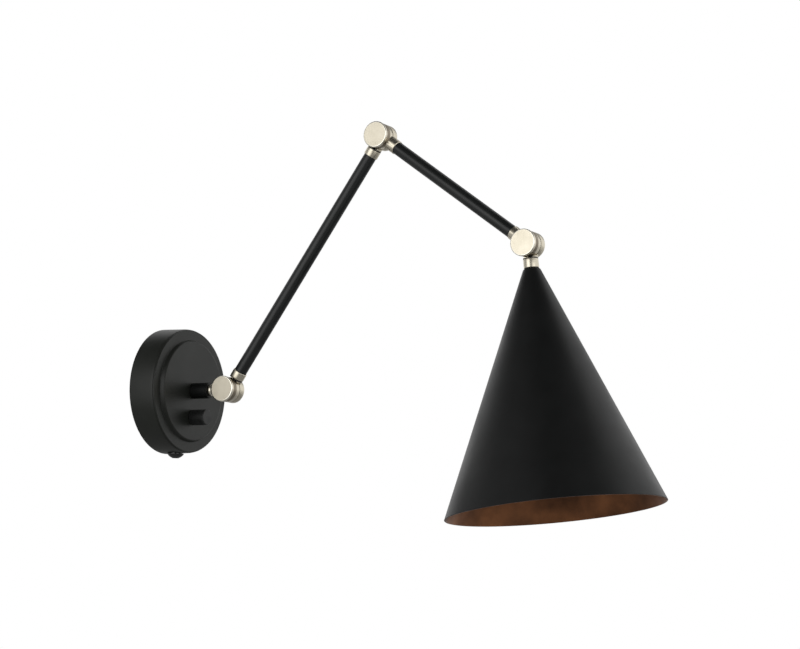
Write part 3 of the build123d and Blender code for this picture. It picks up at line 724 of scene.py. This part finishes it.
canopy_outline = [
    face_middle,
    *rounded(disc_edge, face_middle, disc_base, disc_round),
    *rounded(disc_base, disc_edge, ring_edge, foot_round, parts=3),
    *rounded(ring_edge, (disc_radius, ring_depth), ledge_inside, ring_round, parts=4),
    ledge_inside,
    *rounded(ledge_edge, ledge_inside, shoulder_edge, ledge_round, parts=3),
    shoulder_edge,
    (canopy_radius, 0),
    (canopy_radius - wall, 0),
    (ring_radius - wall, ring_depth - wall),
    (disc_radius - wall, ring_depth - wall),
    (disc_radius - wall, face_depth - wall),
    (0, face_depth - wall),
]
nipple_hole = 5.05 * mm
dimmer_hole = 3.55 * mm
bushing_hole = 6.35 * mm
side_screw_hole = 1.75 * mm
through_face = 50 * mm
through_side = 80 * mm
knob_centre = Vector((0, 0, joint_place["knob_turn"].z))
bushing_centre = Vector((0, (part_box("cord_bushing")[0].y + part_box("cord_bushing")[1].y) / 2, 0))
side_screw_centre = (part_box("canopy_screw")[0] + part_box("canopy_screw")[1]) / 2
side_screw_centre.x = 0

bm = turn_outline(canopy_outline, origin, room_side, steps=160, closed=False)
bm = drill(bm, origin, room_side, nipple_hole, through_face)
bm = drill(bm, knob_centre, room_side, dimmer_hole, through_face)
bm = drill(bm, bushing_centre, down, bushing_hole, through_side)
bm = drill(bm, side_screw_centre, right_side, side_screw_hole, through_side, steps=24)
finish_piece("canopy_cup", bm, "wall_mount", [canopy_paint], ["canopy"],
             [room_side])

# %% [markdown]
# ## Post and arm tubes
#
# The post and the two arms are plain tubes with lightly chamfered ends. Tubes with a
# real bore and wall cost little more than solid rods, and they stay right when a
# viewer looks into an open end.

# %% Post and arms


def tube_piece(name, node, body, origin, direction, radius, bore, chamfer, material):
    """A tube between the two ends of its frame node, with chamfered ends."""
    start, end = reach(node, origin, direction)
    outline = [
        (bore, start),
        (radius - chamfer, start),
        (radius, start + chamfer),
        (radius, end - chamfer),
        (radius - chamfer, end),
        (bore, end),
    ]
    bm = turn_outline(outline, origin, direction, steps=72)
    return finish_piece(name, bm, body, [material], [node], [direction])


tube_radius = radius_of("arm_1_tube")
tube_bore = tube_radius - 1.0 * mm
tube_chamfer = 0.25 * mm
post_chamfer = 0.5 * mm
tube_piece("post_sleeve", "post", "wall_mount", origin, room_side,
           radius_of("post"), nipple_hole, post_chamfer, post_paint)
tube_piece("lower_arm", "arm_1_tube", "arm_1", wall_pivot, arm_1_line,
           tube_radius, tube_bore, tube_chamfer, arm_paint)
tube_piece("upper_arm", "arm_2_tube", "arm_2", elbow_pivot, arm_2_line,
           tube_radius, tube_bore, tube_chamfer, arm_paint)

# %% [markdown]
# ## Knuckles
#
# Each knuckle is two half laps with a boss each, and a cap disc. The halves are cut
# shapes, which the frame already has, so a merged copy with bevelled edges is a start.
# On the lamp, a ferrule sits on each boss of a rear half, a little away from the barrel, and a bead fills the neck
# at the wall. Both are turned and added to the copy. The boss between barrel and ferrule is painted black, a
# painted shadow of the joint. A brown painted shade darkens each front barrel beside its cap, and a plane cuts the
# barrel where that band ends. The cap is turned too: a plug that sits in the front half, a groove with painted
# shade, and the disc with its polished round edge, lighter as a painted highlight.

# %% Knuckle halves
edge_round = 0.22 * mm
barrel_radius = 12.6 * mm
margin = 0.05 * mm
# width of the band of painted shade on each front barrel beside its cap
shade_band_width = 4.8 * mm
# the boss between these two distances is painted black, a painted shadow of the joint
shadow_band_start = 13.2 * mm  # the black joint, as distances from the pivot
shadow_band_end = 14.5 * mm
barrel_slot, boss_slot, painted_shade_slot, painted_shadow_slot, highlight_slot = range(5)


def softened_copy(name, node, body, material, width=edge_round):
    """A merged copy of a frame node with soft edges."""
    bm = merged_copy(node)
    soften(bm, width)
    return finish_piece(name, bm, body, [material], [node], [*lamp_directions, up])


def half_piece(name, node, pivot, body, boss_nickel, boss_line, turned, has_ferrule=False):
    """Half a knuckle: its barrel has rings round the pivot, its boss or neck round its own axis.

    A turned outline, if there is one, is spun round the boss and added. Beside a ferrule the boss is painted
    black, a painted shadow of the joint. The barrel of a front half ends in a band of brown painted shade.
    """
    bm = merged_copy(node)
    is_front = node.endswith("front")
    shade_band_place = reach(node, pivot, left_side)[1] - shade_band_width
    if is_front:
        split_at(bm, pivot + left_side * shade_band_place, left_side)
    if has_ferrule:
        split_at(bm, pivot + boss_line * shadow_band_end, boss_line)
        split_at(bm, pivot + boss_line * shadow_band_start, boss_line)
    soften(bm, edge_round)
    for face in bm.faces:
        from_pivot = face.calc_center_median() - pivot
        outward = -from_pivot.x
        from_pivot.x = 0
        if from_pivot.length > barrel_radius + margin:
            # the boss between barrel and ferrule is painted black, a painted shadow
            in_painted_shadow = shadow_band_start < from_pivot.dot(boss_line) < shadow_band_end
            face.material_index = painted_shadow_slot if in_painted_shadow else boss_slot
        else:
            # a band of a front barrel beside the cap gets painted shade
            in_shade_band = is_front and outward > shade_band_place
            face.material_index = painted_shade_slot if in_shade_band else barrel_slot
    if turned:
        for face in added(bm, turn_outline(turned, pivot, boss_line, steps=72)):
            # the ends of a turned ferrule and bead get the painted highlight
            is_side = abs(face.normal.dot(boss_line)) < 0.3
            face.material_index = boss_slot if is_side else highlight_slot
    nickels = [barrel_nickel, boss_nickel, painted_shade_nickel, painted_shadow_black, painted_highlight_edge]
    return finish_piece(name, bm, body, nickels, [node], lamp_directions)


def ferrule(end, sleeve_bore, radius, edge=0.45 * mm):
    """Outline of a sleeve with rounded ends, from the end of the painted shadow band to a distance from the pivot.
    """
    return [
        (sleeve_bore, shadow_band_end),
        *rounded((radius, shadow_band_end), (sleeve_bore, shadow_band_end), (radius, end), edge, parts=3),
        *rounded((radius, end), (radius, shadow_band_end), (sleeve_bore, end), edge, parts=3),
        (sleeve_bore, end),
    ]


boss_radius = 6.95 * mm
boss_end = 22.0 * mm
arm_ferrule_radius = 7.15 * mm
shade_neck_radius = 7.1 * mm
shade_ferrule_radius = shade_neck_radius + 0.15 * mm
sunk = 0.15 * mm  # how far a ferrule reaches into its boss
shade_top = reach("shade", shade_pivot, shade_line)[0]
arm_ferrule = ferrule(boss_end, boss_radius - sunk, arm_ferrule_radius)
shade_ferrule = ferrule(shade_top - margin, shade_neck_radius - sunk, shade_ferrule_radius)

neck_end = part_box("post")[0].y - wall_pivot.y
bead_height = 1.1 * mm
bead_half_width = 2.1 * mm
bead_centre = 4.9 * mm
bead_parts = 10
neck_bead = [
    (bead_centre + bead_height * sin(k * pi / bead_parts),
     neck_end - bead_half_width * (1 + cos(k * pi / bead_parts)))
    for k in range(bead_parts + 1)
]

half_piece("wall_front_half", "wall_knuckle_front", wall_pivot, "wall_mount", wall_neck_nickel,
           wall_side, neck_bead)
half_piece("wall_rear_half", "wall_knuckle_rear", wall_pivot, "arm_1", arm_1_nickel,
           arm_1_line, arm_ferrule, has_ferrule=True)
half_piece("elbow_front_half", "elbow_knuckle_front", elbow_pivot, "arm_2", arm_2_nickel,
           arm_2_line, None)
half_piece("elbow_rear_half", "elbow_knuckle_rear", elbow_pivot, "arm_1", arm_1_nickel,
           -arm_1_line, arm_ferrule, has_ferrule=True)
half_piece("shade_front_half", "shade_knuckle_front", shade_pivot, "arm_2", arm_2_nickel,
           -arm_2_line, None)
half_piece("shade_rear_half", "shade_knuckle_rear", shade_pivot, "shade_head", shade_neck_nickel,
           shade_line, shade_ferrule, has_ferrule=True)
for knuckle, body in (("wall", "arm_1"), ("elbow", "arm_1"), ("shade", "shade_head")):
    softened_copy(f"{knuckle}_cover_plate", f"{knuckle}_knuckle_cover", body, disc_nickel)

# %% Cap discs
cap_disc_thickness = 3.0 * mm
cap_groove_width = 1.0 * mm
cap_groove_radius = 11.5 * mm
cap_plug_depth = 1.5 * mm
cap_plug_radius = 9.45 * mm
cap_edge = 1.1 * mm
cap_bevel = 0.1 * mm
face_slot, highlight_rim_slot, shaded_groove_slot, side_slot = range(4)


def cap_piece(knuckle, pivot, body):
    """The flat disc on the front half of a knuckle."""
    node = f"{knuckle}_knuckle_cap"
    face_place = reach(node, pivot, left_side)[1]
    radius = (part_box(node)[1].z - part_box(node)[0].z) / 2
    groove_end = face_place - cap_disc_thickness
    seat = groove_end - cap_groove_width
    outline = [
        (0, seat - cap_plug_depth),
        (cap_plug_radius, seat - cap_plug_depth),
        (cap_plug_radius, seat),
        (cap_groove_radius, seat),
        (cap_groove_radius, groove_end),
        (radius, groove_end),
        *rounded((radius, face_place), (radius, groove_end), (0, face_place), cap_edge, parts=6),
        (0, face_place),
    ]
    bm = turn_outline(outline, pivot, left_side, closed=False)
    soften(bm, cap_bevel, sharper_than=40)
    for face in bm.faces:
        from_pivot = face.calc_center_median() - pivot
        outward = -from_pivot.x
        from_pivot.x = 0
        # the groove and the plug get painted shade
        if outward < groove_end + cap_bevel:
            face.material_index = shaded_groove_slot
        elif from_pivot.length > radius - cap_edge:
            # the rounded rim gets the painted highlight
            face.material_index = highlight_rim_slot if outward > face_place - cap_edge else side_slot
        else:
            face.material_index = face_slot
    nickels = [disc_nickel, painted_highlight_edge, painted_shade_nickel, barrel_nickel]
    return finish_piece(f"{knuckle}_cap_disc", bm, body, nickels, [node], [left_side])


cap_piece("wall", wall_pivot, "wall_mount")
cap_piece("elbow", elbow_pivot, "arm_2")
cap_piece("shade", shade_pivot, "arm_2")

# %% [markdown]
# ## The shade
#
# The shade is a cone, spun from one disc of aluminium, with a small rounded shoulder at
# the top and a plain cut rim. One closed outline gives both walls, and the faces that
# look towards the axis get the copper finish as a second material slot. The rim's own
# narrow face is copper too, which draws the thin bright line under the black.

# %% Shade
shade_start, shade_end = reach("shade", shade_pivot, shade_line)
shade_radius = radius_of("shade")
shade_top_radius = 7.7 * mm
shade_wall = 1.2 * mm
shade_hole = 5.05 * mm
shoulder_round = 2.6 * mm
rim_round = 0.3 * mm
rings_down = 12  # rings that keep the long faces short enough to shade evenly
slope = (shade_radius - shade_top_radius) / (shade_end - shade_start)
wall_across = shade_wall * (1 + slope ** 2) ** 0.5


def shade_inside(along):
    """Radius of the shade's inner wall at a distance from its knuckle."""
    return shade_top_radius + slope * (along - shade_start) - wall_across


shoulder = rounded((shade_top_radius, shade_start), (0, shade_start), (shade_radius, shade_end),
                   shoulder_round, parts=6)
cone_radius, cone_start = shoulder[-1]
cone_end = shade_end - rim_round
outer_rings = [
    (cone_radius + (shade_radius - cone_radius) * k / rings_down,
     cone_start + (cone_end - cone_start) * k / rings_down)
    for k in range(1, rings_down)
]
inner_top = shade_start + shade_wall
shade_outline = [
    (shade_hole, shade_start),
    *shoulder,
    *outer_rings,
    (shade_radius, cone_end),
    (shade_radius - rim_round, shade_end),
    (shade_inside(shade_end), shade_end),
    (shade_inside(inner_top), inner_top),
    (shade_hole, inner_top),
]
bm = turn_outline(shade_outline, shade_pivot, shade_line, steps=192)
for face in bm.faces:
    middle = face.calc_center_median() - shade_pivot
    outward = middle - shade_line * middle.dot(shade_line)
    looks_in = face.normal.dot(outward.normalized()) < 0 or face.normal.dot(shade_line) > 0.9
    face.material_index = 1 if looks_in else 0
finish_piece("shade_cone", bm, "shade_head", [shade_paint, copper_inside], ["shade"])

# %% [markdown]
# ## The knob and the bushing
#
# The knob's side is finely fluted, for the fingers. Each of the 72 long side faces is
# inset and sunk a little, which leaves a ridge between every two. The bushing is glossy
# and its flange is a shallow lens, so its outline is the arc of a large circle that ends
# in the rim of the bore.

# %% Knob
knob_flutes = 72
flute_edge = 0.14 * mm
flute_depth = 0.28 * mm
knob_start, knob_end = reach("knob", knob_centre, room_side)
knob_length = knob_end - knob_start
knob_radius = (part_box("knob")[1].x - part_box("knob")[0].x) / 2
knob_edge = 0.6 * mm
knob_foot = 0.3 * mm
plain_band = 0.9 * mm
shaft_radius = 3.05 * mm
shaft_depth = 16.5 * mm
skirt_radius = knob_radius - 1.7 * mm
skirt_depth = 3.0 * mm
knob_outline = [
    (0, knob_start + shaft_depth),
    (shaft_radius, knob_start + shaft_depth),
    (shaft_radius, knob_start + skirt_depth),
    (skirt_radius, knob_start + skirt_depth),
    (skirt_radius, knob_start),
    (knob_radius - knob_foot, knob_start),
    (knob_radius, knob_start + knob_foot),
    (knob_radius, knob_start + plain_band),
    (knob_radius, knob_end - knob_edge - plain_band),
    (knob_radius, knob_end - knob_edge),
    (knob_radius - knob_edge, knob_end),
    (0, knob_end),
]
bm = turn_outline(knob_outline, knob_centre, room_side, steps=knob_flutes, closed=False)
knob_middle = knob_centre + room_side * (knob_start + knob_end - knob_edge) / 2
long_faces = [
    face for face in bm.faces
    if (face.calc_center_median() - knob_middle).length < knob_radius * 1.01
    and longest_edge(face) > knob_length * 0.7
]
bmesh.ops.inset_individual(bm, faces=long_faces, thickness=flute_edge, depth=-flute_depth)
print("flutes", len(long_faces))
finish_piece("fluted_knob", bm, "knob", [knob_plastic], ["knob"], [room_side])

# %% Cord bushing
bushing_start, bushing_end = reach("cord_bushing", bushing_centre, down)
flange_radius = radius_of("cord_bushing")
nose_height = 1.6 * mm
flange_height = 3.4 * mm
flange_edge = 0.5 * mm
flange_back = bushing_end - nose_height - flange_height
bushing_bore = 3.2 * mm
rim_radius = 3.7 * mm
shank_radius = 6.3 * mm
collar_radius = 7.2 * mm
collar_height = 3.5 * mm
dome_parts = 10
dome_start = flange_back + flange_edge
dome_height = bushing_end - dome_start
dome_circle = (flange_radius ** 2 + dome_height ** 2) / (2 * dome_height)
dome_radii = [
    flange_radius + (rim_radius - flange_radius) * k / dome_parts for k in range(dome_parts + 1)
]
dome = [
    (radius, dome_start + (dome_circle ** 2 - radius ** 2) ** 0.5 - dome_circle + dome_height)
    for radius in dome_radii
]
rim_height = dome[-1][1]
bushing_outline = [
    (bushing_bore + 0.3 * mm, rim_height + 0.2 * mm),
    (bushing_bore, rim_height),
    (bushing_bore, bushing_start),
    (shank_radius, bushing_start),
    (collar_radius, bushing_start + collar_height),
    (shank_radius, bushing_start + collar_height),
    (shank_radius, flange_back),
    (flange_radius, flange_back),
    *dome,
]
bm = turn_outline(bushing_outline, bushing_centre, down, steps=72)
finish_piece("cord_bushing_moulding", bm, "wall_mount",
             [bushing_plastic], ["cord_bushing"])

# %% [markdown]
# ## Inside the canopy and the shade
#
# These pieces show from behind and from below. They keep their frame shapes, and get
# their own finishes. Each lead has the colour of its task: black is hot, white is
# neutral, green is ground and red is the switched lead. The connectors get grip ribs,
# the screws a driver's slot, and the bracket, the dimmer and the nut soft edges.

# %% Leads
middle_half_width = 3 * mm
hot_slot, neutral_slot, ground_slot, switched_slot = range(4)
bm = merged_copy("canopy_leads")
for shell in islands(bm):
    middle = sum((face.calc_center_median() for face in shell), Vector()) / len(shell)
    if middle.z < 0 and middle.x < 0:
        slot = hot_slot
    elif middle.x < -middle_half_width:
        slot = neutral_slot
    elif middle.x < middle_half_width:
        slot = ground_slot
    else:
        slot = switched_slot
    print("lead", slot, [round(part / mm, 1) for part in middle])
    for face in shell:
        face.material_index = slot
finish_piece("house_leads", bm, "wall_mount",
             [black_lead, white_lead, green_lead, red_lead], ["canopy_leads"])

# %% Wire connectors
rib_gap = 0.16 * mm
rib_height = 0.3 * mm
bm = merged_copy("wire_connectors")
rib_faces = [face for face in bm.faces if 8 * mm < longest_edge(face) < 11 * mm]
bmesh.ops.inset_individual(bm, faces=rib_faces, thickness=rib_gap, depth=-rib_height)
print("connector ribs", len(rib_faces))
finish_piece("ribbed_connectors", bm, "wall_mount",
             [connector_plastic], ["wire_connectors"])

# %% Bracket, dimmer, nut and screws
sheared_edge = 0.3 * mm
for name, node, slot, material in (
    ("cross_bracket", "wall_bracket", "plain_steel", zinc),
    ("dimmer_case", "dimmer_body", "dimmer_case", dimmer_plastic),
    ("post_hex_nut", "post_nut", "plain_steel", zinc),
):
    softened_copy(name, node, "wall_mount", material, sheared_edge)

slot_width = 0.8 * mm
slot_length = 12 * mm
slot_depth = 0.9 * mm


def slotted_copy(name, node, direction, material):
    """A screw of the frame with a driver's slot cut across its head."""
    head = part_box(node)
    middle = (head[0] + head[1]) / 2
    top = middle + direction * reach(node, middle, direction)[1]
    cutter_size = Vector((slot_width, slot_width, slot_length))
    for k in range(3):
        if abs(direction[k]) > 0.5:
            cutter_size[k] = 2 * slot_depth
    cutter_bm = bmesh.new()
    bmesh.ops.create_cube(cutter_bm, size=1)
    bmesh.ops.scale(cutter_bm, vec=cutter_size, verts=cutter_bm.verts)
    bmesh.ops.translate(cutter_bm, vec=top, verts=cutter_bm.verts)
    bm = cut_away(merged_copy(node), cutter_bm)
    return finish_piece(name, bm, "wall_mount", [material], [node], [direction])


slotted_copy("canopy_side_screw", "canopy_screw", right_side, canopy_paint)
slotted_copy("ground_wire_screw", "ground_screw", wall_side, green_paint)

# %% Frame nodes that keep their shape
plain_finish = {
    "post_nipple": zinc,
    "post_lock_washer": zinc,
    "dimmer_nut": zinc,
    "knob_shaft": zinc,
    "post_cable": black_lead,
    "arm_1_cable": black_lead,
    "arm_2_cable": black_lead,
    "lampholder_cable": black_lead,
    "shade_collar": collar_plastic,
    "shade_nut": zinc,
    "lampholder_nipple": zinc,
    "lampholder_cap": phenolic,
    "lampholder_body": phenolic,
    "screw_shell": brass,
    "centre_contact": brass,
}
for knuckle in ("wall", "elbow", "shade"):
    for part, material in (("pivot", zinc), ("pivot_nut", zinc), ("spring_washer", zinc),
                           ("friction_washer", washer_plastic)):
        plain_finish[f"{knuckle}_knuckle_{part}"] = material
for node, material in plain_finish.items():
    for slot in frame["nodes"][node].material_slots:
        slot.material = material
print("frame nodes with their own finish", len(plain_finish))
